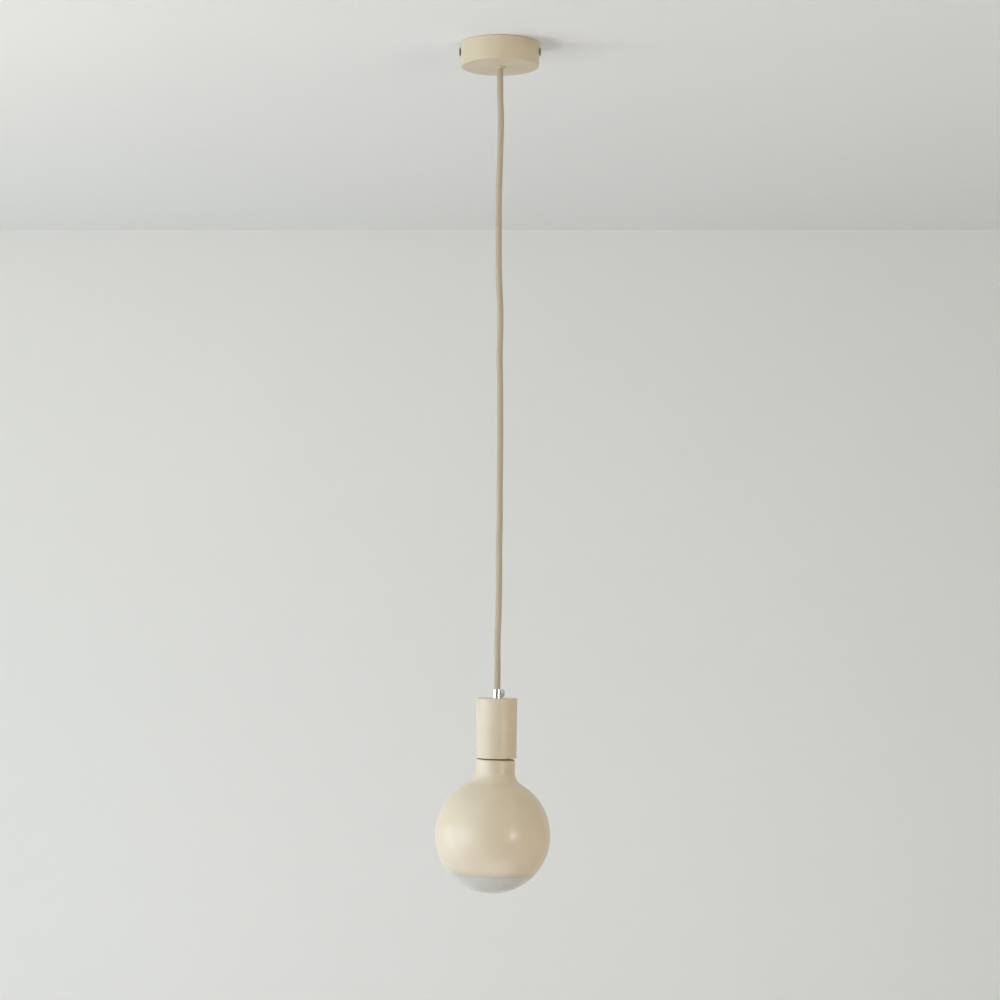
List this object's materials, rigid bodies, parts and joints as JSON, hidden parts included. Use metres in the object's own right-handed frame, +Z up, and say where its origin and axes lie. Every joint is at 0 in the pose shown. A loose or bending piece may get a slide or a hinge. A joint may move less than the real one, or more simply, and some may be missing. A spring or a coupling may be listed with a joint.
{
  "type": "pendant light",
  "caption": "Pendant light: a ceiling cup, one straight textile cord, a slim metal lamp holder cup and a large globe bulb, painted above and frosted below.",
  "frame": {"origin": "middle of the mounting bracket's top face, in the plane of the ceiling", "axes": "+Z up into the ceiling, +X towards the right side screw, +Y away from the viewer; the lamp hangs towards -Z"},
  "size_m": [0.1248, 0.125, 0.9279],
  "materials": {
    "beige_paint": "satin beige paint",
    "bulb_paint": "satin beige paint on glass above, frosted glass below",
    "textile": "braided textile sleeve",
    "cream_nylon": "moulded",
    "white_nylon": "moulded",
    "black_moulding": "moulded",
    "polished_steel": "polished",
    "dark_nickel": "dark nickel",
    "zinc_steel": "zinc plated",
    "brass": "plain",
    "cap_metal": "rolled sheet",
    "ceramic": "glazed",
    "black_glass": "glossy",
    "brown_pvc": "smooth",
    "blue_pvc": "smooth",
    "earth_pvc": "smooth, green and yellow"
  },
  "bodies": {
    "root": {"canopy": "beige_paint", "mounting_bracket": "zinc_steel", "side_screw_left": "dark_nickel", "side_screw_right": "dark_nickel", "earth_screw": "zinc_steel", "outlet_bush": "cream_nylon", "cord_anchor": "white_nylon", "anchor_screw": "zinc_steel", "terminal_block": "white_nylon", "insert_1": "brass", "insert_2": "brass", "insert_3": "brass", "block_screw_1": "zinc_steel", "block_screw_2": "zinc_steel", "block_screw_3": "zinc_steel", "block_screw_4": "zinc_steel", "block_screw_5": "zinc_steel", "block_screw_6": "zinc_steel", "lead_live_top": "brown_pvc", "lead_neutral_top": "blue_pvc", "lead_earth_top": "earth_pvc", "earth_bond_lead": "earth_pvc", "cord": "textile", "cord_grip": "polished_steel", "grip_screw": "polished_steel", "holder_shell": "beige_paint", "earth_tag": "brass", "clamp_nut": "zinc_steel", "holder_dome": "black_moulding", "contact_carrier": "ceramic", "clamp_live": "brass", "clamp_neutral": "brass", "clamp_screw_live": "zinc_steel", "clamp_screw_neutral": "zinc_steel", "contact_rivet_live": "brass", "contact_rivet_neutral": "brass", "centre_contact": "brass", "side_contact": "brass", "lead_live_bottom": "brown_pvc", "lead_neutral_bottom": "blue_pvc", "lead_earth_bottom": "earth_pvc", "holder_skirt": "black_moulding", "screw_shell": "brass", "bulb_globe": "bulb_paint", "bulb_cap": "cap_metal", "cap_insulator": "black_glass", "cap_contact": "brass"}
  },
  "joints": []
}
